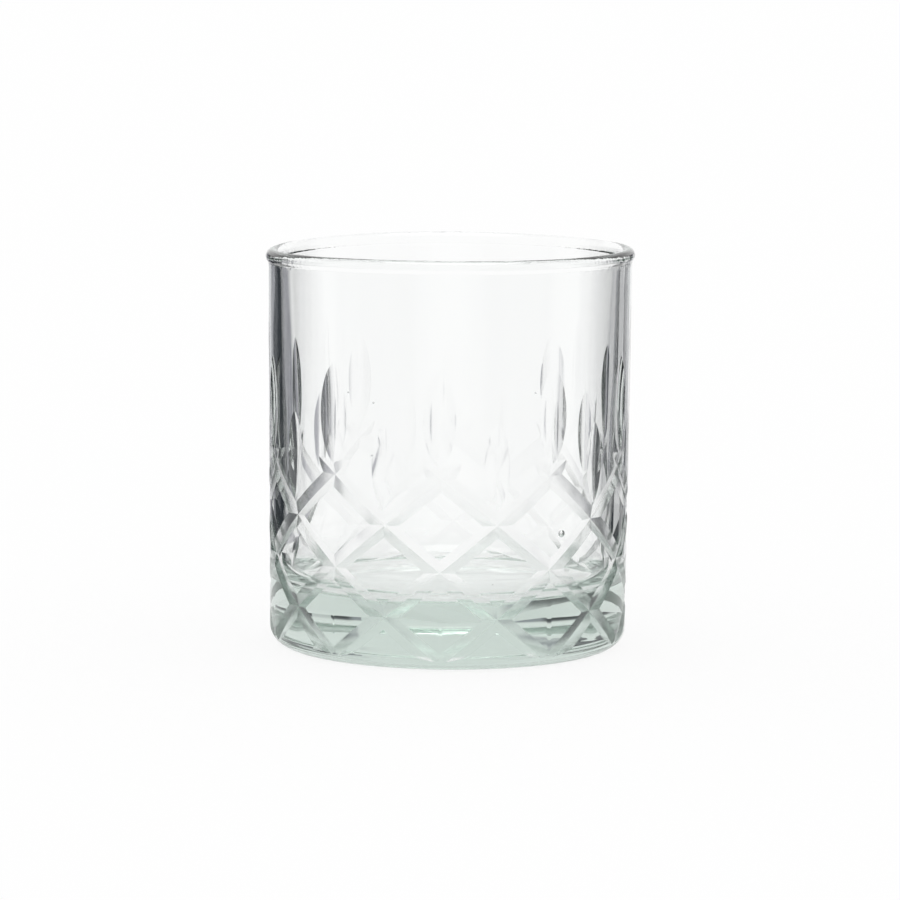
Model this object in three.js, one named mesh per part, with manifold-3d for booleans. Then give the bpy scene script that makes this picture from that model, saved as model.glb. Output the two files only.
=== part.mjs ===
// A heavy-based whisky tumbler of clear glass, with a rolled rim, a lattice of crossed V cuts
// round its lower half and two rows of upright olive cuts standing on the lattice.
// Millimetres, +Z up. The origin is the centre of the plane that the glass stands on,
// and the front, -Y, looks straight at a column of crossings.
import * as THREE from 'three';
import { mergeVertices } from 'three/addons/utils/BufferGeometryUtils.js';
import Module from 'manifold-3d';

const wasm = await Module();
wasm.setup();

// Outer form
const overallHeight = 93.5;
const rimDiameter = 86;
const rimBeadDiameter = 3.35;
const beadStandOut = 0.55;
const footDiameter = 83.4;
const heelRadius = 4.5;

// Inner form: the wall is thinnest under the bead and thickest above the inner corner
const wallUnderBead = 2.8;
const wallAboveCorner = 3.4;
const baseThickness = 15;
const innerCornerRadius = 6;

// Underside: a flat ring to stand on, round a shallow hollow
const standingRingWidth = 6;
const hollowDepth = 1.2;
const hollowSlopeWidth = 3;

// Lattice of V cuts, ground by a small wheel that lifts off above the top row of crossings
const columnCount = 10;
const topRowHeight = 44;
const rowPitch = 10.7;
const latticeCutWidth = 4.6;
const latticeCutDepth = 0.5;
const latticeWheelDiameter = 70;

// Upright olive cuts, ground by a large wheel with a V edge:
// tall ones above the top row's crossings, short ones between them
const uprightWheelDiameter = 160;
const uprightWheelEdgeAngle = 160;
const tallCutHeight = 58;
const tallCutDepth = 0.8;
const shortCutHeight = 46.9;
const shortCutDepth = 0.58;

// Fineness of the facets
const roundSides = 60;
const cornerSteps = 5;
const underBeadSteps = 2;
const beadQuarterSteps = 4;
const latticeStepsPerRow = 3;
const liftOffSteps = 4;
const uprightWheelSides = 120;

// How far a cutting wheel's model stands clear of the surface that it cuts
const cutterOverhang = 1;
const liftOffClearance = 0.3;

const glassColour = 0xe6f0ec;
const glassRoughness = 0.03;
const glassOpacity = 0.35;

// Sizes that follow from the driving ones
const rimRadius = rimDiameter / 2;
const beadRadius = rimBeadDiameter / 2;
const beadCentreRadius = rimRadius - beadRadius;
const beadCentreHeight = overallHeight - beadRadius;
const beadSeatHeight = overallHeight - rimBeadDiameter;
const bodyTopRadius = rimRadius - beadStandOut;
const footRadius = footDiameter / 2;
const cornerTopHeight = baseThickness + innerCornerRadius;
const columnStep = (2 * Math.PI) / columnCount;
const halfColumnStep = columnStep / 2;

function between(start, end, share) {
  return start + (end - start) * share;
}

function bodyRadius(height) {
  const share = (height - heelRadius) / (beadSeatHeight - heelRadius);
  return between(footRadius, bodyTopRadius, share);
}

const boreTopRadius = bodyTopRadius - wallUnderBead;
const boreLowRadius = bodyRadius(cornerTopHeight) - wallAboveCorner;

function arc(centreRadius, centreHeight, radius, fromDegrees, toDegrees, steps) {
  const points = [];
  for (let step = 0; step <= steps; step += 1) {
    const angle = THREE.MathUtils.degToRad(between(fromDegrees, toDegrees, step / steps));
    const r = centreRadius + radius * Math.cos(angle);
    const z = centreHeight + radius * Math.sin(angle);
    points.push(new THREE.Vector2(r, z));
  }
  return points;
}

function signedVolume(positions, triangles) {
  const corners = [new THREE.Vector3(), new THREE.Vector3(), new THREE.Vector3()];
  let sixfold = 0;
  for (let first = 0; first < triangles.length; first += 3) {
    corners.forEach((corner, i) => corner.fromArray(positions, 3 * triangles[first + i]));
    sixfold += corners[0].dot(corners[1].cross(corners[2]));
  }
  return sixfold / 6;
}

// A closed geometry as a solid, with its shared points merged and its faces turned outwards
function solidFrom(geometry) {
  geometry.deleteAttribute('normal');
  geometry.deleteAttribute('uv');
  const merged = mergeVertices(geometry);
  const positions = new Float32Array(merged.attributes.position.array);
  const corners = merged.index.array;
  const triangles = [];
  for (let first = 0; first < corners.length; first += 3) {
    const [a, b, c] = corners.slice(first, first + 3);
    if (a !== b && b !== c && c !== a) triangles.push(a, b, c);
  }
  if (signedVolume(positions, triangles) < 0) triangles.reverse();
  const mesh = new wasm.Mesh({
    numProp: 3,
    vertProperties: positions,
    triVerts: new Uint32Array(triangles),
  });
  return new wasm.Manifold(mesh);
}

// A profile of (radius, height) points turned round the upright axis
function turned(profile) {
  const geometry = new THREE.LatheGeometry(profile, roundSides);
  geometry.rotateX(Math.PI / 2);
  return solidFrom(geometry);
}

function turnedRing(profile) {
  return turned([...profile, profile[0]]);
}

function rimBead() {
  const neckAngle = -THREE.MathUtils.radToDeg(Math.acos((bodyTopRadius - beadCentreRadius) / beadRadius));
  return turnedRing([
    new THREE.Vector2(boreTopRadius, beadSeatHeight),
    new THREE.Vector2(bodyTopRadius, beadSeatHeight),
    ...arc(beadCentreRadius, beadCentreHeight, beadRadius, neckAngle, 0, underBeadSteps),
    ...arc(beadCentreRadius, beadCentreHeight, beadRadius, 0, 180, 2 * beadQuarterSteps).slice(1),
  ]);
}

function plainWall() {
  return turnedRing([
    new THREE.Vector2(boreLowRadius, cornerTopHeight),
    new THREE.Vector2(bodyRadius(cornerTopHeight), cornerTopHeight),
    new THREE.Vector2(bodyTopRadius, beadSeatHeight),
    new THREE.Vector2(boreTopRadius, beadSeatHeight),
  ]);
}

function plainBase() {
  const ringOuterRadius = footRadius - heelRadius;
  const ringInnerRadius = ringOuterRadius - standingRingWidth;
  const cornerCentreRadius = boreLowRadius - innerCornerRadius;
  return turned([
    new THREE.Vector2(0, hollowDepth),
    new THREE.Vector2(ringInnerRadius - hollowSlopeWidth, hollowDepth),
    new THREE.Vector2(ringInnerRadius, 0),
    ...arc(ringOuterRadius, heelRadius, heelRadius, -90, 0, cornerSteps),
    new THREE.Vector2(bodyRadius(cornerTopHeight), cornerTopHeight),
    ...arc(cornerCentreRadius, cornerTopHeight, innerCornerRadius, 0, -90, cornerSteps),
    new THREE.Vector2(0, baseThickness),
  ]);
}

// A point at an azimuth counted from the front, -Y, towards +X
function aroundAxis(radius, azimuth, height) {
  return new THREE.Vector3(radius * Math.sin(azimuth), -radius * Math.cos(azimuth), height);
}

// A solid through a row of three-cornered sections, closed at both ends
function sweptThrough(sections) {
  const points = sections.flat();
  const index = [];
  for (let row = 0; row + 1 < sections.length; row += 1) {
    for (let side = 0; side < 3; side += 1) {
      const here = 3 * row + side;
      const beside = 3 * row + ((side + 1) % 3);
      index.push(here, beside, beside + 3, here, beside + 3, here + 3);
    }
  }
  const last = points.length - 3;
  index.push(0, 2, 1, last, last + 1, last + 2);
  const geometry = new THREE.BufferGeometry().setFromPoints(points);
  geometry.setIndex(index);
  return solidFrom(geometry);
}

// One slanting V cut. It starts above the top row's crossing on a column, moves half a column
// round for each row that it goes down, and leaves the glass through the heel.
function latticeCutter(column, hand) {
  const rowArc = halfColumnStep * bodyRadius(topRowHeight);
  const rowLength = Math.hypot(rowPitch, rowArc);
  const wheelRadius = latticeWheelDiameter / 2;
  const liftOffLength = Math.sqrt(2 * wheelRadius * (latticeCutDepth + liftOffClearance));
  const liftOffRows = liftOffLength / rowLength;
  const lastRow = (topRowHeight + latticeCutWidth) / rowPitch;
  const slantSteps = Math.ceil(lastRow * latticeStepsPerRow);
  const spread = latticeCutWidth / 2 / latticeCutDepth;

  function sectionAt(row, depth) {
    const height = topRowHeight - row * rowPitch;
    const azimuth = column * columnStep + hand * row * halfColumnStep;
    const outerRadius = bodyRadius(height) + cutterOverhang;
    const halfWidth = spread * (depth + cutterOverhang);
    const turn = (hand * halfWidth * rowPitch) / rowLength / outerRadius;
    const rise = (halfWidth * rowArc) / rowLength;
    return [
      aroundAxis(bodyRadius(height) - depth, azimuth, height),
      aroundAxis(outerRadius, azimuth - turn, height - rise),
      aroundAxis(outerRadius, azimuth + turn, height + rise),
    ];
  }

  const sections = [];
  for (let step = liftOffSteps; step > 0; step -= 1) {
    const distance = (liftOffLength * step) / liftOffSteps;
    const lift = distance ** 2 / (2 * wheelRadius);
    sections.push(sectionAt((-liftOffRows * step) / liftOffSteps, latticeCutDepth - lift));
  }
  for (let step = 0; step <= slantSteps; step += 1) {
    sections.push(sectionAt((lastRow * step) / slantSteps, latticeCutDepth));
  }
  return sweptThrough(sections);
}

// The V-edged wheel that grinds one upright cut, standing in the plane through the glass's axis
function uprightCutter(azimuth, height, depth) {
  const wheelRadius = uprightWheelDiameter / 2;
  const edgeAngle = THREE.MathUtils.degToRad(uprightWheelEdgeAngle);
  const halfThickness = wheelRadius * Math.tan(edgeAngle / 2);
  const profile = [
    new THREE.Vector2(0, -halfThickness),
    new THREE.Vector2(wheelRadius, 0),
    new THREE.Vector2(0, halfThickness),
  ];
  const outwards = aroundAxis(1, azimuth, 0);
  const up = new THREE.Vector3(0, 0, 1);
  const alongAxle = new THREE.Vector3().crossVectors(up, outwards);
  const placed = new THREE.Matrix4().makeBasis(outwards, alongAxle, up);
  placed.setPosition(aroundAxis(bodyRadius(height) + wheelRadius - depth, azimuth, height));
  const geometry = new THREE.LatheGeometry(profile, uprightWheelSides);
  geometry.applyMatrix4(placed);
  return solidFrom(geometry);
}

function allCutters() {
  const cutters = [];
  for (let column = 0; column < columnCount; column += 1) {
    const azimuth = column * columnStep;
    cutters.push(latticeCutter(column, 1), latticeCutter(column, -1));
    cutters.push(uprightCutter(azimuth, tallCutHeight, tallCutDepth));
    cutters.push(uprightCutter(azimuth + halfColumnStep, shortCutHeight, shortCutDepth));
  }
  return cutters;
}

function cutBy(solid, cutters) {
  return cutters.reduce((rest, cutter) => rest.subtract(cutter), solid);
}

function namedMesh(name, solid) {
  const { vertProperties, triVerts } = solid.getMesh();
  const geometry = new THREE.BufferGeometry();
  geometry.setAttribute('position', new THREE.BufferAttribute(vertProperties, 3));
  geometry.setIndex(new THREE.BufferAttribute(triVerts, 1));
  geometry.computeVertexNormals();
  const material = new THREE.MeshStandardMaterial({
    color: glassColour,
    roughness: glassRoughness,
    metalness: 0,
    transparent: true,
    opacity: glassOpacity,
  });
  const mesh = new THREE.Mesh(geometry, material);
  mesh.name = name;
  return mesh;
}

const cutters = allCutters();
const glass = new THREE.Group();
glass.name = 'whisky_glass';
glass.add(namedMesh('rim_bead', rimBead()));
glass.add(namedMesh('wall', cutBy(plainWall(), cutters)));
glass.add(namedMesh('base', cutBy(plainBase(), cutters)));

export default glass;
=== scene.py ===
"""Looks of a cut-glass whisky tumbler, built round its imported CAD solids.

Metres, +Z up, front at -Y. One unbroken glass stands for the CAD's rim, wall and base.
"""
import math

import bpy
from mathutils import Euler, Matrix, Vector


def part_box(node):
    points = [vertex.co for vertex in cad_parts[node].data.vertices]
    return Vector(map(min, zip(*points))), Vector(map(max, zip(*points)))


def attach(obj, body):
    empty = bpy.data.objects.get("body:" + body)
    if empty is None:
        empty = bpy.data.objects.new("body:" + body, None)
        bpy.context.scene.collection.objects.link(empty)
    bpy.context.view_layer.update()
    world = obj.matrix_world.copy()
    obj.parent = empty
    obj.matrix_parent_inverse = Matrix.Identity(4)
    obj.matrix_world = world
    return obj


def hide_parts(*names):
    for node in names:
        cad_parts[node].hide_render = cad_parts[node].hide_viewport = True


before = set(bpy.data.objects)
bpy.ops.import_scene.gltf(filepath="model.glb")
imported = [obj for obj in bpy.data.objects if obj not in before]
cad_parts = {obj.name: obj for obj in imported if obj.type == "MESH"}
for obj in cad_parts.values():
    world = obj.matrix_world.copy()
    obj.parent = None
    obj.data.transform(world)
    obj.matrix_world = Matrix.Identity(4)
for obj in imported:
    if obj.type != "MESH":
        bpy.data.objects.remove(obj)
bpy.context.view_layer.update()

MM = 0.001

# Sizes read from the CAD solids
bead_low, bead_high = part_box("rim_bead")
wall_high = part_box("wall")[1]
base_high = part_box("base")[1]
RIM_RADIUS = bead_high.x
BEAD_RADIUS = (bead_high.z - bead_low.z) / 2
BEAD_SEAT = bead_low.z
BODY_TOP_RADIUS = wall_high.x
CORNER_TOP = base_high.z

# Sizes of the turned glass, as in the CAD
FOOT_RADIUS = 41.7 * MM
HEEL_RADIUS = 4.5 * MM
WALL_UNDER_BEAD = 2.8 * MM
WALL_ABOVE_CORNER = 3.4 * MM
INNER_CORNER_RADIUS = 6.0 * MM
STANDING_RING = 6.0 * MM
HOLLOW_DEPTH = 1.2 * MM
HOLLOW_SLOPE = 3.0 * MM
NECK_RADIUS = 0.5 * MM

# Sizes of the cuts, as in the CAD
COLUMNS = 10
TOP_ROW = 44.0 * MM
ROW_PITCH = 10.7 * MM
LATTICE_WIDTH = 4.6 * MM
LATTICE_DEPTH = 0.5 * MM
LATTICE_WHEEL_RADIUS = 35.0 * MM
UPRIGHT_WHEEL_RADIUS = 80.0 * MM
UPRIGHT_EDGE_ANGLE = math.radians(160)
UPRIGHT_WIDTH_PER_DEPTH = 2 * math.tan(UPRIGHT_EDGE_ANGLE / 2)
TALL_HEIGHT = 58.0 * MM
TALL_DEPTH = 0.8 * MM
SHORT_HEIGHT = 46.9 * MM
SHORT_DEPTH = 0.58 * MM

# Fineness of the mesh
BODY_SIDES = 400
OUTER_STEP = 12.0 * MM
INNER_STEP = 3.0 * MM
CORNER_STEPS = 14
BEAD_STEPS = 28
NECK_STEPS = 6
LATTICE_POINTS = 96
UPRIGHT_POINTS = 64
SHARP_ANGLE = math.radians(9)
BAR_SIDE_POINTS = 7
BAR_SPREAD = 1.6
LIFT_CLEARANCE = 0.4 * MM
SEAM_MERGE = 1e-6
SEED_SUBDIVISIONS = 4

COLUMN_STEP = 2 * math.pi / COLUMNS

# Marks of hand work: slips and grinding of the cuts, swells of the bore, a sunk rim, and seeds
HAND_SEED = 3
HAND_SEED_STEP = 10
LATTICE_TURN_SLIP = math.radians(0.5)
UPRIGHT_TURN_SLIP = math.radians(0.8)
UPRIGHT_HEIGHT_SLIP = 0.5 * MM
UPRIGHT_DEPTH_SLIP = 0.06 * MM
UPRIGHT_HOLLOW = 0.5
LATTICE_HOLLOW = 0.1
UPRIGHT_GRIND = 0.5
LATTICE_GRIND = 1.0
RIPPLE = 0.18 * MM
RIPPLE_SCALE = 70.0
RIPPLE_DETAIL = 1.0
RIPPLE_DRAW = 0.3
UNDERSIDE_RIPPLE_SHARE = 1.0
FLOOR_RIPPLE_SHARE = 0.25
RIM_SAG = 0.43 * MM
RIM_SAG_LEFT = 0.43 * MM
SAG_START = 70.0 * MM
# Azimuth in degrees from the front, then height, depth under the surface and radius in millimetres
SEEDS = [
    (41.5, 30.7, 1.7, 0.85),
    (-31.0, 63.0, 1.4, 0.2),
    (-22.0, 61.0, 1.6, 0.22),
    (-22.5, 49.0, 1.3, 0.18),
    (17.0, 20.0, 2.0, 0.16),
    (150.0, 55.0, 1.4, 0.25),
]

WHITE = (1.0, 1.0, 1.0, 1.0)

# The glass itself
GLASS_IOR = 1.51
GLASS_TINT = (0.715, 0.79, 0.752, 1.0)
GLASS_DENSITY = 22.0
GLASS_BOUNCES = 14
CUT_ROUGHNESS = 0.2
SKIN_STRETCH = (1.0, 1.0, 0.35)
SKIN_SCALE = 90.0
SKIN_DETAIL = 2.0
SKIN_HEIGHT = 0.02 * MM
RIM_SCALE = 450.0
RIM_HEIGHT = 0.06 * MM
RIM_FADE = 1.0 * MM

# The stage
PAPER_WHITE = (0.97, 0.97, 0.97, 1.0)
PAPER_GLOW = 0.85
PAPER_GLOW_IN_GLASS = 0.6
PAPER_TOOTH = 900.0
PAPER_GRAIN = 0.02 * MM
FLOOR_GAP = 0.05 * MM
FLOOR_SIDES = 96
SHEET_RADIUS = 0.15
FLOOR_RADIUS = 6.0
SIDE_STEP = math.radians(90)
SCREEN_SIDES = (math.radians(12), math.radians(16))
SCREEN_TOP = (math.sin(math.radians(3)), math.sin(math.radians(7)))
SCREEN_COLOUR = (0.36, 0.36, 0.4, 1.0)
CARD_SIDES = (math.radians(21), math.radians(24))
CARD_TOP = (math.sin(math.radians(0)), math.sin(math.radians(10)))
CARD_COLOUR = (0.03, 0.035, 0.04, 1.0)
TABLE_EDGE = (math.sin(math.radians(-19)), math.sin(math.radians(-15)))
STRIPS = [(math.radians(163), math.radians(2.5)), (math.radians(147), math.radians(4))]
STRIP_SHARE = 0.8
SOFTBOX_EDGE = (math.sin(math.radians(64)), math.sin(math.radians(70)))
SOFTBOX_STRENGTH = 3.5
NEAR_SIDE = math.radians(10)
NEAR_EDGE = (0.0, 0.3)
NEAR_SHARE = 0.12

# The camera, with lengths in metres
IMAGE_PIXELS = 900
FOCAL_PIXELS = 4561.4
SENSOR_WIDTH = 36.0
CAMERA_AZIMUTH = math.radians(2.5)
CAMERA_DISTANCE = 1.0596
CAMERA_HEIGHT = 0.1823
CAMERA_PITCH = math.radians(7.354)
AXIS_OFFSET_PIXELS = 1.2
CAMERA_YAW = math.atan(AXIS_OFFSET_PIXELS / FOCAL_PIXELS)
CAMERA_ROLL = math.radians(0.45)
CAMERA_CLIP_START = 0.01


def between(start, end, share):
    return start + (end - start) * share


def body_radius(height):
    """Outer radius of the tapered wall at a height."""
    share = (height - HEEL_RADIUS) / (BEAD_SEAT - HEEL_RADIUS)
    return between(FOOT_RADIUS, BODY_TOP_RADIUS, share)


BORE_TOP_RADIUS = BODY_TOP_RADIUS - WALL_UNDER_BEAD
BORE_LOW_RADIUS = body_radius(CORNER_TOP) - WALL_ABOVE_CORNER
FLOOR = CORNER_TOP - INNER_CORNER_RADIUS


# Profile of the turned glass

def arc(centre, radius, start, end, steps):
    """Points (radius, height) along an arc; angles in degrees, 0 outwards and 90 up."""
    angles = [math.radians(between(start, end, step / steps)) for step in range(steps + 1)]
    return [(centre[0] + radius * math.cos(a), centre[1] + radius * math.sin(a)) for a in angles]


def run(start, end, spacing):
    """Points of a straight stretch, both ends left out."""
    count = max(1, round(math.dist(start, end) / spacing))
    shares = [step / count for step in range(1, count)]
    return [(between(start[0], end[0], s), between(start[1], end[1], s)) for s in shares]


def outer_profile():
    """From the middle of the underside, round the heel, up the wall and over the bead."""
    ring_outer = FOOT_RADIUS - HEEL_RADIUS
    ring_inner = ring_outer - STANDING_RING
    middle = (0.0, HOLLOW_DEPTH)
    slope_top = (ring_inner - HOLLOW_SLOPE, HOLLOW_DEPTH)
    ring_edge = (ring_inner, 0.0)
    heel = arc((ring_outer, HEEL_RADIUS), HEEL_RADIUS, -90, 0, CORNER_STEPS)
    bead_centre = (RIM_RADIUS - BEAD_RADIUS, BEAD_SEAT + BEAD_RADIUS)
    neck_reach = BODY_TOP_RADIUS + NECK_RADIUS - bead_centre[0]
    neck_turn = math.degrees(math.acos(neck_reach / (BEAD_RADIUS + NECK_RADIUS)))
    neck_drop = (BEAD_RADIUS + NECK_RADIUS) * math.sin(math.radians(neck_turn))
    neck_centre = (BODY_TOP_RADIUS + NECK_RADIUS, bead_centre[1] - neck_drop)
    neck = arc(neck_centre, NECK_RADIUS, 180, 180 - neck_turn, NECK_STEPS)
    bead = arc(bead_centre, BEAD_RADIUS, -neck_turn, 180, BEAD_STEPS)
    underside = [middle, *run(middle, slope_top, INNER_STEP), slope_top, ring_edge]
    return underside + heel + run(heel[-1], neck[0], OUTER_STEP) + neck + bead[1:]


def inner_profile(start):
    """From the inner side of the bead down the bore, round the corner and in to the floor's middle."""
    bore_top = (BORE_TOP_RADIUS, BEAD_SEAT)
    corner_centre = (BORE_LOW_RADIUS - INNER_CORNER_RADIUS, CORNER_TOP)
    corner = arc(corner_centre, INNER_CORNER_RADIUS, 0, -90, CORNER_STEPS)
    floor_middle = (0.0, FLOOR)
    bore = run(start, bore_top, INNER_STEP) + [bore_top] + run(bore_top, corner[0], INNER_STEP)
    return bore + corner + run(corner[-1], floor_middle, INNER_STEP) + [floor_middle]


def profile_mesh():
    outer = outer_profile()
    inner = inner_profile(outer[-1])
    mesh = bpy.data.meshes.new("tumbler_profile")
    points = [(r, 0.0, z) for r, z in outer + inner]
    mesh.from_pydata(points, [(i, i + 1) for i in range(len(points) - 1)], [])
    worked = mesh.attributes.new("worked", "FLOAT", "POINT")
    hollow = [UNDERSIDE_RIPPLE_SHARE if z == HOLLOW_DEPTH else 0.0 for _, z in outer]
    bore = [FLOOR_RIPPLE_SHARE if math.isclose(z, FLOOR) else 1.0 for _, z in inner]
    worked.data.foreach_set("value", hollow + bore)
    return mesh


# Node trees

def feed(tree, socket, value):
    """Links a socket to another node's output, or sets it to a plain value."""
    if isinstance(value, bpy.types.NodeSocket):
        tree.links.new(value, socket)
    else:
        socket.default_value = value


def math_node(tree, operation, *values):
    node = tree.nodes.new("ShaderNodeMath")
    node.operation = operation
    for socket, value in zip(node.inputs, values):
        feed(tree, socket, value)
    return node.outputs[0]


class Tree:
    """A geometry node tree with named inputs, drawn one node at a time."""

    def __init__(self, name, inputs):
        self.tree = bpy.data.node_groups.new(name, "GeometryNodeTree")
        for socket_name, kind in inputs.items():
            self.tree.interface.new_socket(socket_name, in_out="INPUT", socket_type="NodeSocket" + kind)
        self.tree.interface.new_socket("Geometry", in_out="OUTPUT", socket_type="NodeSocketGeometry")
        self.given = self.tree.nodes.new("NodeGroupInput").outputs
        self.result = self.tree.nodes.new("NodeGroupOutput").inputs

    def add(self, kind, inputs=(), **settings):
        """Adds a node and returns its first output that is in use."""
        node = self.tree.nodes.new(kind)
        for setting, value in settings.items():
            setattr(node, setting, value)
        for name, value in dict(inputs).items():
            socket = next(s for s in node.inputs if s.enabled and s.name == name)
            for each in value if isinstance(value, list) else [value]:
                feed(self.tree, socket, each)
        return next(s for s in node.outputs if s.enabled)

    def group(self, tree, **inputs):
        node = self.tree.nodes.new("GeometryNodeGroup")
        node.node_tree = tree
        for name, value in inputs.items():
            feed(self.tree, node.inputs[name.replace("_", " ")], value)
        return node.outputs[0]

    def calc(self, operation, *values):
        return math_node(self.tree, operation, *values)

    def point(self, x, y, z):
        return self.add("ShaderNodeCombineXYZ", {"X": x, "Y": y, "Z": z})

    def around(self, radius, azimuth, height):
        """A point at an azimuth counted from the front, -Y, towards +X."""
        x = self.calc("MULTIPLY", radius, self.calc("SINE", azimuth))
        forward = self.calc("MULTIPLY", radius, self.calc("COSINE", azimuth))
        return self.point(x, self.calc("MULTIPLY", forward, -1.0), height)

    def parts(self, vector):
        node = self.tree.nodes.new("ShaderNodeSeparateXYZ")
        feed(self.tree, node.inputs[0], vector)
        return node.outputs

    def jitter(self, reach, seed):
        """A number between -reach and reach for each point or instance."""
        low = self.calc("MULTIPLY", reach, -1.0)
        inputs = {"Min": low, "Max": reach, "Seed": seed}
        return self.add("FunctionNodeRandomValue", inputs, data_type="FLOAT")

    def finish(self, geometry):
        feed(self.tree, self.result[0], geometry)
        return self.tree


def turned_tree():
    """A line of (radius, 0, height) points turned round the upright axis into a closed mesh."""
    tree = Tree("turned", {"Profile": "Geometry", "Sides": "Int"})
    profile, sides = tree.given["Profile"], tree.given["Sides"]
    rows = tree.add("GeometryNodeAttributeDomainSize", {"Geometry": profile})
    columns = tree.calc("ADD", sides, 1.0)
    grid = tree.add("GeometryNodeMeshGrid", {"Vertices X": rows, "Vertices Y": columns})
    index = tree.add("GeometryNodeInputIndex")
    row = tree.calc("FLOOR", tree.calc("DIVIDE", index, columns))
    column = tree.calc("MODULO", index, columns)
    sampled = {"Geometry": profile, "Index": row}
    sampled_place = {**sampled, "Value": tree.add("GeometryNodeInputPosition")}
    place = tree.add("GeometryNodeSampleIndex", sampled_place, data_type="FLOAT_VECTOR")
    azimuth = tree.calc("MULTIPLY", tree.calc("DIVIDE", column, sides), 2 * math.pi)
    radius, _, height = tree.parts(place)
    worked = tree.add("GeometryNodeInputNamedAttribute", {"Name": "worked"}, data_type="FLOAT")
    kept = tree.add("GeometryNodeSampleIndex", {**sampled, "Value": worked}, data_type="FLOAT")
    named = {"Geometry": grid, "Name": "worked", "Value": kept}
    marked = tree.add("GeometryNodeStoreNamedAttribute", named)
    position = tree.around(radius, azimuth, height)
    wrapped = tree.add("GeometryNodeSetPosition", {"Geometry": marked, "Position": position})
    closed = tree.add("GeometryNodeMergeByDistance", {"Geometry": wrapped, "Distance": SEAM_MERGE})
    return tree.finish(tree.add("GeometryNodeFlipFaces", {"Mesh": closed}))


def v_bar_tree():
    """A hollow-ground V bar along a path on the wall, with its edge Depth inside the path."""
    sizes = {name: "Float" for name in ("Width", "Depth", "Hollow", "Grind")}
    tree = Tree("v_bar", {"Path": "Geometry", **sizes})
    given = tree.given
    x, y, _ = tree.parts(tree.add("GeometryNodeInputPosition"))
    outwards = {"Curve": given["Path"], "Normal": tree.point(x, y, 0.0)}
    facing = tree.add("GeometryNodeSetCurveNormal", outwards, mode="FREE")
    # The section's first point is the bar's edge, then its points climb one side and come down the other
    count = 2 * BAR_SIDE_POINTS + 1
    ring = tree.add("GeometryNodeCurvePrimitiveCircle", {"Resolution": count})
    index = tree.add("GeometryNodeInputIndex")
    past = tree.calc("GREATER_THAN", index, BAR_SIDE_POINTS)
    step = tree.calc("SUBTRACT", index, tree.calc("MULTIPLY", past, count))
    share = tree.calc("POWER", tree.calc("DIVIDE", step, BAR_SIDE_POINTS), 2.0)
    ratio = tree.calc("MULTIPLY", share, BAR_SPREAD)
    half_width = tree.calc("MULTIPLY", given["Width"], 0.5)
    aside = tree.calc("MULTIPLY", tree.calc("MULTIPLY", ratio, half_width), tree.calc("SIGN", step))
    bow = tree.calc("MULTIPLY", given["Hollow"], tree.calc("MULTIPLY", ratio, ratio))
    straight = tree.calc("MULTIPLY", tree.calc("SUBTRACT", 1.0, given["Hollow"]), ratio)
    climb = tree.calc("SUBTRACT", tree.calc("ADD", bow, straight), 1.0)
    out = tree.calc("MULTIPLY", climb, given["Depth"])
    corner = tree.point(out, aside, 0.0)
    section = tree.add("GeometryNodeSetPosition", {"Geometry": ring, "Position": corner})
    swept = {"Curve": facing, "Profile Curve": section, "Fill Caps": True}
    bar = tree.add("GeometryNodeFlipFaces", {"Mesh": tree.add("GeometryNodeCurveToMesh", swept)})
    marked = {"Geometry": bar, "Name": "cut", "Value": given["Grind"]}
    return tree.finish(tree.add("GeometryNodeStoreNamedAttribute", marked, domain="FACE"))


def wall_radius(tree, height):
    """Outer radius of the tapered wall at a height, as a field."""
    taper = (BODY_TOP_RADIUS - FOOT_RADIUS) / (BEAD_SEAT - HEEL_RADIUS)
    return tree.calc("ADD", tree.calc("MULTIPLY", height, taper), body_radius(0.0))


def upright_line(tree, bottom, top, count):
    """A straight line of points up the axis, and the height of each."""
    ends = {"Start": tree.point(0.0, 0.0, top), "End": tree.point(0.0, 0.0, bottom)}
    line = tree.add("GeometryNodeCurvePrimitiveLine", ends)
    path = tree.add("GeometryNodeResampleCurve", {"Curve": line, "Count": count})
    return path, tree.parts(tree.add("GeometryNodeInputPosition"))[2]


def wheel_lift(tree, distance, wheel_radius):
    """How far a wheel's edge stands off at a distance from where it cuts deepest."""
    return tree.calc("DIVIDE", tree.calc("POWER", distance, 2.0), 2 * wheel_radius)


def lattice_bar_tree(v_bar):
    """One slanting cut: half a column round for each row down, lifting off above the top row."""
    tree = Tree("lattice_bar", {"Hand": "Float", "Width": "Float", "Depth": "Float"})
    given = tree.given
    row_arc = COLUMN_STEP / 2 * body_radius(TOP_ROW)
    row_length = math.hypot(ROW_PITCH, row_arc)
    lift_length = math.sqrt(2 * LATTICE_WHEEL_RADIUS * (LATTICE_DEPTH + LIFT_CLEARANCE))
    top = TOP_ROW + lift_length * ROW_PITCH / row_length
    path, height = upright_line(tree, -LATTICE_WIDTH, top, LATTICE_POINTS)
    rows_down = tree.calc("DIVIDE", tree.calc("SUBTRACT", TOP_ROW, height), ROW_PITCH)
    azimuth = tree.calc("MULTIPLY", tree.calc("MULTIPLY", rows_down, COLUMN_STEP / 2), given["Hand"])
    above = tree.calc("MAXIMUM", tree.calc("MULTIPLY", rows_down, -row_length), 0.0)
    lift = wheel_lift(tree, above, LATTICE_WHEEL_RADIUS)
    position = tree.around(tree.calc("ADD", wall_radius(tree, height), lift), azimuth, height)
    slanted = tree.add("GeometryNodeSetPosition", {"Geometry": path, "Position": position})
    cut = {"Width": given["Width"], "Depth": given["Depth"], "Hollow": LATTICE_HOLLOW}
    return tree.finish(tree.group(v_bar, Path=slanted, Grind=LATTICE_GRIND, **cut))


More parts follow.
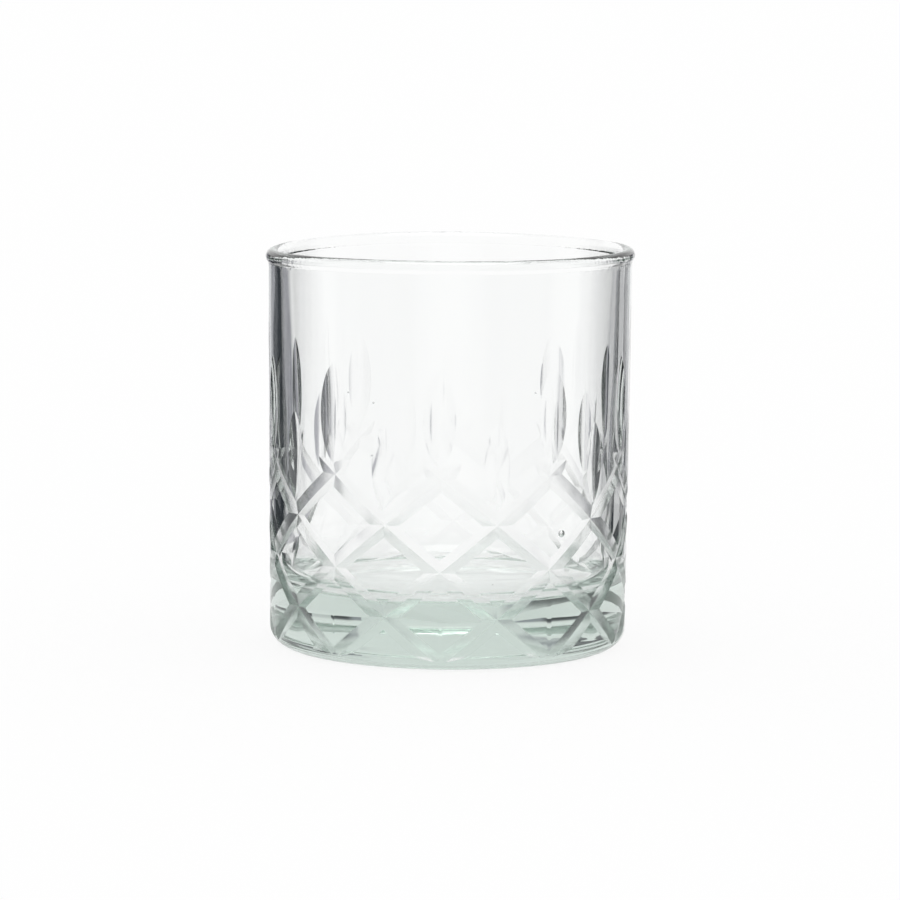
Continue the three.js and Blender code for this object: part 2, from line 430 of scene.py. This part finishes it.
def upright_bar_tree(v_bar):
    """One upright cut at the front, hollow-ground by a large wheel."""
    tree = Tree("upright_bar", {"Height": "Float", "Width": "Float", "Depth": "Float"})
    given = tree.given
    to_surface = tree.calc("ADD", given["Depth"], LIFT_CLEARANCE)
    reach = tree.calc("SQRT", tree.calc("MULTIPLY", to_surface, 2 * UPRIGHT_WHEEL_RADIUS))
    top = tree.calc("ADD", given["Height"], reach)
    bottom = tree.calc("SUBTRACT", given["Height"], reach)
    path, height = upright_line(tree, bottom, top, UPRIGHT_POINTS)
    lift = wheel_lift(tree, tree.calc("SUBTRACT", height, given["Height"]), UPRIGHT_WHEEL_RADIUS)
    position = tree.around(tree.calc("ADD", wall_radius(tree, height), lift), 0.0, height)
    bowed = tree.add("GeometryNodeSetPosition", {"Geometry": path, "Position": position})
    cut = {"Width": given["Width"], "Depth": given["Depth"], "Hollow": UPRIGHT_HOLLOW}
    return tree.finish(tree.group(v_bar, Path=bowed, Grind=UPRIGHT_GRIND, **cut))


def ring_tree():
    """Copies of a bar round the axis, one to a column, each a little out of place as by hand."""
    inputs = {"Bar": "Geometry", "Shift": "Float", "Seed": "Int"}
    slips = {f"{way} Slip": "Float" for way in ("Turn", "Height", "Depth")}
    tree = Tree("ring_of_cuts", {**inputs, **slips})
    given = tree.given
    column = tree.calc("ADD", tree.add("GeometryNodeInputIndex"), given["Shift"])
    turn_slip = tree.jitter(given["Turn Slip"], given["Seed"])
    azimuth = tree.calc("ADD", tree.calc("MULTIPLY", column, COLUMN_STEP), turn_slip)
    height_slip = tree.jitter(given["Height Slip"], tree.calc("ADD", given["Seed"], 1))
    depth_slip = tree.jitter(given["Depth Slip"], tree.calc("ADD", given["Seed"], 2))
    place = tree.around(depth_slip, azimuth, height_slip)
    points = tree.add("GeometryNodePoints", {"Count": COLUMNS, "Position": place})
    placed = {"Points": points, "Instance": given["Bar"], "Rotation": tree.point(0.0, 0.0, azimuth)}
    return tree.finish(tree.add("GeometryNodeInstanceOnPoints", placed))


def seeds_tree():
    """Tiny bubbles caught in the glass, one at each point, as wide as the point says."""
    tree = Tree("seeds", {"Places": "Object"})
    places = tree.tree.nodes.new("GeometryNodeObjectInfo")
    feed(tree.tree, places.inputs["Object"], tree.given["Places"])
    radius = tree.add("GeometryNodeInputNamedAttribute", {"Name": "radius"}, data_type="FLOAT")
    bubble = tree.add("GeometryNodeMeshIcoSphere", {"Radius": 1.0, "Subdivisions": SEED_SUBDIVISIONS})
    placed = {"Points": places.outputs["Geometry"], "Instance": bubble, "Scale": radius}
    return tree.finish(tree.add("GeometryNodeInstanceOnPoints", placed))


def rippled(tree, blank):
    """The blank with its bore and underside swollen and drawn in a little, as hand-worked glass is."""
    given = tree.given
    worked = tree.add("GeometryNodeInputNamedAttribute", {"Name": "worked"}, data_type="FLOAT")
    x, y, z = tree.parts(tree.add("GeometryNodeInputPosition"))
    drawn = tree.point(x, y, tree.calc("MULTIPLY", z, RIPPLE_DRAW))
    noise = {"Vector": drawn, "Scale": given["Ripple Scale"], "Detail": RIPPLE_DETAIL}
    swell = tree.calc("SUBTRACT", tree.add("ShaderNodeTexNoise", noise), 0.5)
    swell = tree.calc("MULTIPLY", tree.calc("MULTIPLY", swell, given["Ripple"]), worked)
    along = {"Vector": tree.add("GeometryNodeInputNormal"), "Scale": swell}
    offset = tree.add("ShaderNodeVectorMath", along, operation="SCALE")
    return tree.add("GeometryNodeSetPosition", {"Geometry": blank, "Offset": offset})


def sagged(tree, blank):
    """The blank with its rim sunk a little at the left, -X, and hardly at the right."""
    x, _, z = tree.parts(tree.add("GeometryNodeInputPosition"))
    aside = tree.calc("DIVIDE", x, RIM_RADIUS)
    sag = tree.calc("SUBTRACT", tree.calc("MULTIPLY", aside, RIM_SAG_LEFT), RIM_SAG)
    sag = tree.calc("MULTIPLY", sag, tree.calc("MULTIPLY", aside, aside))
    rise = {"Value": z, "From Min": SAG_START, "From Max": BEAD_SEAT}
    share = tree.add("ShaderNodeMapRange", rise, interpolation_type="SMOOTHSTEP")
    offset = tree.point(0.0, 0.0, tree.calc("MULTIPLY", sag, share))
    return tree.add("GeometryNodeSetPosition", {"Geometry": blank, "Offset": offset})


def glass_tree(material):
    """The blank, cut by both hands of the lattice, both upright rows and the seeds."""
    names = ["Lattice Width", "Lattice Depth", "Lattice Turn Slip"]
    names += ["Upright Width Per Depth", "Tall Height", "Tall Depth", "Short Height", "Short Depth"]
    names += ["Upright Turn Slip", "Upright Height Slip", "Upright Depth Slip", "Ripple", "Ripple Scale"]
    inputs = {"Profile": "Geometry", "Sides": "Int", "Seed": "Int", "Seed Places": "Object"}
    tree = Tree("cut_tumbler", {**inputs, **{name: "Float" for name in names}})
    given = tree.given
    v_bar = v_bar_tree()
    lattice_bar, upright_bar, ring = lattice_bar_tree(v_bar), upright_bar_tree(v_bar), ring_tree()

    turned = tree.group(turned_tree(), Profile=given["Profile"], Sides=given["Sides"])
    blank = sagged(tree, rippled(tree, turned))
    cutters = [tree.group(seeds_tree(), Places=given["Seed Places"])]
    lattice = {"Width": given["Lattice Width"], "Depth": given["Lattice Depth"]}
    for order, hand in enumerate((1.0, -1.0)):
        bar = tree.group(lattice_bar, Hand=hand, **lattice)
        seed = tree.calc("ADD", given["Seed"], HAND_SEED_STEP * order)
        cutters.append(tree.group(ring, Bar=bar, Seed=seed, Turn_Slip=given["Lattice Turn Slip"]))
    slips = {f"{way}_Slip": given[f"Upright {way} Slip"] for way in ("Turn", "Height", "Depth")}
    for order, row in enumerate(("Tall", "Short")):
        sizes = {"Height": given[row + " Height"], "Depth": given[row + " Depth"]}
        width = tree.calc("MULTIPLY", given["Upright Width Per Depth"], sizes["Depth"])
        bar = tree.group(upright_bar, Width=width, **sizes)
        seed = tree.calc("ADD", given["Seed"], HAND_SEED_STEP * (order + 2))
        cutters.append(tree.group(ring, Bar=bar, Shift=order / 2, Seed=seed, **slips))

    sides = {"Mesh 1": blank, "Mesh 2": cutters}
    cut = tree.add("GeometryNodeMeshBoolean", sides, operation="DIFFERENCE", solver="MANIFOLD")
    rounded = {"Geometry": cut, "Shade Smooth": True}
    smooth = tree.add("GeometryNodeSetShadeSmooth", rounded, domain="FACE")
    sharp = tree.calc("GREATER_THAN", tree.add("GeometryNodeInputMeshEdgeAngle"), SHARP_ANGLE)
    crisp = {"Geometry": smooth, "Selection": sharp, "Shade Smooth": False}
    edged = tree.add("GeometryNodeSetShadeSmooth", crisp, domain="EDGE")
    whole = tree.add("GeometryNodeRealizeInstances", {"Geometry": edged})
    return tree.finish(tree.add("GeometryNodeSetMaterial", {"Geometry": whole, "Material": material}))


# The glass

def seed_places():
    """Loose points where the seeds sit, each with its seed's radius."""
    mesh = bpy.data.meshes.new("seed_places")
    points = []
    for azimuth, height, under, _ in SEEDS:
        out = body_radius(height * MM) - under * MM
        turn = math.radians(azimuth)
        points.append((out * math.sin(turn), -out * math.cos(turn), height * MM))
    mesh.from_pydata(points, [], [])
    radius = mesh.attributes.new("radius", "FLOAT", "POINT")
    radius.data.foreach_set("value", [size * MM for *_, size in SEEDS])
    return bpy.data.objects.new("seed_places", mesh)


def make_glass(material):
    """Runs the tree once and keeps its result as one plain mesh."""
    tree = glass_tree(material)
    maker = bpy.data.objects.new("tumbler_maker", profile_mesh())
    places = seed_places()
    bpy.context.scene.collection.objects.link(maker)
    bpy.context.scene.collection.objects.link(places)
    values = {
        "Sides": BODY_SIDES,
        "Seed": HAND_SEED,
        "Seed Places": places,
        "Lattice Width": LATTICE_WIDTH,
        "Lattice Depth": LATTICE_DEPTH,
        "Lattice Turn Slip": LATTICE_TURN_SLIP,
        "Upright Width Per Depth": UPRIGHT_WIDTH_PER_DEPTH,
        "Tall Height": TALL_HEIGHT,
        "Tall Depth": TALL_DEPTH,
        "Short Height": SHORT_HEIGHT,
        "Short Depth": SHORT_DEPTH,
        "Upright Turn Slip": UPRIGHT_TURN_SLIP,
        "Upright Height Slip": UPRIGHT_HEIGHT_SLIP,
        "Upright Depth Slip": UPRIGHT_DEPTH_SLIP,
        "Ripple": RIPPLE,
        "Ripple Scale": RIPPLE_SCALE,
    }
    modifier = maker.modifiers.new("cut_tumbler", "NODES")
    modifier.node_group = tree
    sockets = [item for item in tree.interface.items_tree if item.in_out == "INPUT"]
    identifiers = {socket.name: socket.identifier for socket in sockets}
    for name, value in values.items():
        modifier[identifiers[name]] = value
    evaluated = maker.evaluated_get(bpy.context.evaluated_depsgraph_get())
    mesh = bpy.data.meshes.new_from_object(evaluated)
    bpy.data.objects.remove(maker)
    bpy.data.objects.remove(places)
    glass = bpy.data.objects.new("whisky_glass", mesh)
    bpy.context.scene.collection.objects.link(glass)
    return glass


# Materials

def shader_node(owner, kind, **inputs):
    """A node of a material or the world, with its inputs given by name."""
    node = owner.node_tree.nodes.new(kind)
    for name, value in inputs.items():
        feed(owner.node_tree, node.inputs[name.replace("_", " ")], value)
    return node


def calc(owner, operation, *values):
    """One sum in a material's or the world's nodes."""
    return math_node(owner.node_tree, operation, *values)


def greatest(owner, first, *others):
    for other in others:
        first = calc(owner, "MAXIMUM", first, other)
    return first


def empty_material(name):
    material = bpy.data.materials.new(name)
    material.use_nodes = True
    material.node_tree.nodes.clear()
    return material


def clear_glass():
    """Clear soda glass: a faint green in the thick, an uneven skin and satin-ground cuts."""
    material = empty_material("clear_glass")
    place = shader_node(material, "ShaderNodeTexCoord").outputs["Object"]
    stretched = shader_node(material, "ShaderNodeMapping", Vector=place, Scale=SKIN_STRETCH)
    waves = shader_node(
        material,
        "ShaderNodeTexNoise",
        Vector=stretched.outputs["Vector"],
        Scale=SKIN_SCALE,
        Detail=SKIN_DETAIL,
    )
    skin = shader_node(
        material, "ShaderNodeBump", Height=waves.outputs["Fac"], Strength=1.0, Distance=SKIN_HEIGHT
    )
    height = shader_node(material, "ShaderNodeSeparateXYZ", Vector=place).outputs["Z"]
    edge = {"From_Min": BEAD_SEAT - RIM_FADE, "From_Max": BEAD_SEAT}
    on_rim = shader_node(material, "ShaderNodeMapRange", Value=height, **edge).outputs["Result"]
    rim_noise = {"Scale": RIM_SCALE, "Detail": SKIN_DETAIL}
    waves = shader_node(material, "ShaderNodeTexNoise", Vector=place, **rim_noise)
    skin = shader_node(
        material,
        "ShaderNodeBump",
        Height=waves.outputs["Fac"],
        Strength=on_rim,
        Distance=RIM_HEIGHT,
        Normal=skin.outputs["Normal"],
    )
    cut = shader_node(material, "ShaderNodeAttribute")
    cut.attribute_name = "cut"
    surface = shader_node(
        material,
        "ShaderNodeBsdfPrincipled",
        Base_Color=WHITE,
        Roughness=calc(material, "MULTIPLY", cut.outputs["Fac"], CUT_ROUGHNESS),
        IOR=GLASS_IOR,
        Transmission_Weight=1.0,
        Normal=skin.outputs["Normal"],
    )
    tint = shader_node(material, "ShaderNodeVolumeAbsorption", Color=GLASS_TINT, Density=GLASS_DENSITY)
    shader_node(
        material,
        "ShaderNodeOutputMaterial",
        Surface=surface.outputs["BSDF"],
        Volume=tint.outputs["Volume"],
    )
    return material


# The stage

def floor_material():
    """White paper with a faint tooth, bright enough to read as the background."""
    material = empty_material("white_paper")
    place = shader_node(material, "ShaderNodeTexCoord").outputs["Object"]
    tooth = shader_node(material, "ShaderNodeTexNoise", Vector=place, Scale=PAPER_TOOTH)
    grain = shader_node(material, "ShaderNodeBump", Height=tooth.outputs["Fac"], Distance=PAPER_GRAIN)
    paper = shader_node(
        material, "ShaderNodeBsdfDiffuse", Color=PAPER_WHITE, Normal=grain.outputs["Normal"]
    )
    rays = shader_node(material, "ShaderNodeLightPath").outputs
    in_glass = greatest(material, rays["Is Glossy Ray"], rays["Is Transmission Ray"])
    share = calc(material, "MULTIPLY", rays["Is Camera Ray"], PAPER_GLOW)
    share = calc(material, "MULTIPLY_ADD", in_glass, PAPER_GLOW_IN_GLASS, share)
    glow = shader_node(material, "ShaderNodeEmission", Color=WHITE, Strength=1.0)
    mixed = shader_node(material, "ShaderNodeMixShader", Fac=share)
    material.node_tree.links.new(paper.outputs["BSDF"], mixed.inputs[1])
    material.node_tree.links.new(glow.outputs["Emission"], mixed.inputs[2])
    shader_node(material, "ShaderNodeOutputMaterial", Surface=mixed.outputs["Shader"])
    return material


def floor_circle(radius):
    """Points of a level circle round the axis, just under the glass's foot."""
    turns = [2 * math.pi * side / FLOOR_SIDES for side in range(FLOOR_SIDES)]
    return [(radius * math.cos(turn), radius * math.sin(turn), -FLOOR_GAP) for turn in turns]


def paper_piece(name, points, faces, paper):
    mesh = bpy.data.meshes.new(name)
    mesh.from_pydata(points, [], faces)
    mesh.materials.append(paper)
    piece = bpy.data.objects.new(name, mesh)
    bpy.context.scene.collection.objects.link(piece)
    return piece


def make_floor():
    """A small white sheet under the glass, and the floor beyond it, which the glass does not mirror."""
    paper = floor_material()
    edge = floor_circle(SHEET_RADIUS)
    paper_piece("sheet", edge, [tuple(range(FLOOR_SIDES))], paper)
    faces = []
    for side in range(FLOOR_SIDES):
        after = (side + 1) % FLOOR_SIDES
        faces.append((side, FLOOR_SIDES + side, FLOOR_SIDES + after, after))
    room = paper_piece("floor", edge + floor_circle(FLOOR_RADIUS), faces, paper)
    room.visible_glossy = False
    room.visible_transmission = False


def make_world():
    """White all round, with grey screens, dark cards and a softbox overhead for the glass to show."""
    world = bpy.data.worlds.new("studio")
    bpy.context.scene.world = world
    world.use_nodes = True
    world.node_tree.nodes.clear()

    def fade(value, edge, low=0.0, high=1.0):
        span = {"From_Min": edge[0], "From_Max": edge[1], "To_Min": low, "To_Max": high}
        node = shader_node(world, "ShaderNodeMapRange", Value=value, **span)
        node.interpolation_type = "SMOOTHSTEP"
        return node.outputs["Result"]

    def painted(under, colour, share):
        node = shader_node(world, "ShaderNodeMixRGB", Fac=share, Color1=under, Color2=colour)
        return node.outputs["Color"]

    def both(first, second):
        return calc(world, "MULTIPLY", first, second)

    direction = shader_node(world, "ShaderNodeTexCoord").outputs["Generated"]
    x, y, height = shader_node(world, "ShaderNodeSeparateXYZ", Vector=direction).outputs
    azimuth = calc(world, "ARCTAN2", x, calc(world, "MULTIPLY", y, -1.0))
    turn = calc(world, "SUBTRACT", azimuth, CAMERA_AZIMUTH)
    aside = calc(world, "PINGPONG", turn, SIDE_STEP / 2)
    rays = shader_node(world, "ShaderNodeLightPath").outputs
    in_glass = greatest(world, rays["Is Glossy Ray"], rays["Is Transmission Ray"])
    near = calc(world, "ADD", both(x, math.sin(NEAR_SIDE)), both(y, -math.cos(NEAR_SIDE)))
    shown = both(both(in_glass, fade(height, TABLE_EDGE)), fade(near, NEAR_EDGE, 1.0, NEAR_SHARE))

    strips = greatest(world, *[calc(world, "COMPARE", turn, place, reach) for place, reach in STRIPS])
    shown = both(shown, calc(world, "SUBTRACT", 1.0, both(strips, STRIP_SHARE)))
    screen = both(fade(aside, SCREEN_SIDES), fade(height, SCREEN_TOP, 1.0, 0.0))
    card = both(fade(aside, CARD_SIDES), fade(height, CARD_TOP, 1.0, 0.0))
    colour = painted(WHITE, SCREEN_COLOUR, both(screen, shown))
    colour = painted(colour, CARD_COLOUR, both(card, shown))
    strength = fade(both(height, in_glass), SOFTBOX_EDGE, 1.0, SOFTBOX_STRENGTH)
    light = shader_node(world, "ShaderNodeBackground", Color=colour, Strength=strength)
    shader_node(world, "ShaderNodeOutputWorld", Surface=light.outputs["Background"])


def make_camera():
    """The photograph's own standpoint: a long lens, a little above the rim and slightly rolled."""
    data = bpy.data.cameras.new("camera")
    data.sensor_width = SENSOR_WIDTH
    data.lens = SENSOR_WIDTH * FOCAL_PIXELS / IMAGE_PIXELS
    data.clip_start = CAMERA_CLIP_START
    camera = bpy.data.objects.new("camera", data)
    x = CAMERA_DISTANCE * math.sin(CAMERA_AZIMUTH)
    y = -CAMERA_DISTANCE * math.cos(CAMERA_AZIMUTH)
    camera.location = (x, y, CAMERA_HEIGHT)
    aim = Euler((math.pi / 2 - CAMERA_PITCH, 0.0, CAMERA_AZIMUTH - CAMERA_YAW)).to_matrix()
    camera.rotation_euler = (aim @ Matrix.Rotation(CAMERA_ROLL, 3, "Z")).to_euler()
    bpy.context.scene.collection.objects.link(camera)
    bpy.context.scene.camera = camera


scene = bpy.context.scene
scene.view_settings.view_transform = "Standard"
scene.cycles.max_bounces = GLASS_BOUNCES
scene.cycles.transmission_bounces = GLASS_BOUNCES
scene.cycles.glossy_bounces = GLASS_BOUNCES

whisky_glass = make_glass(clear_glass())
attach(whisky_glass, "root")
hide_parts("rim_bead", "wall", "base")
make_floor()
make_world()
make_camera()
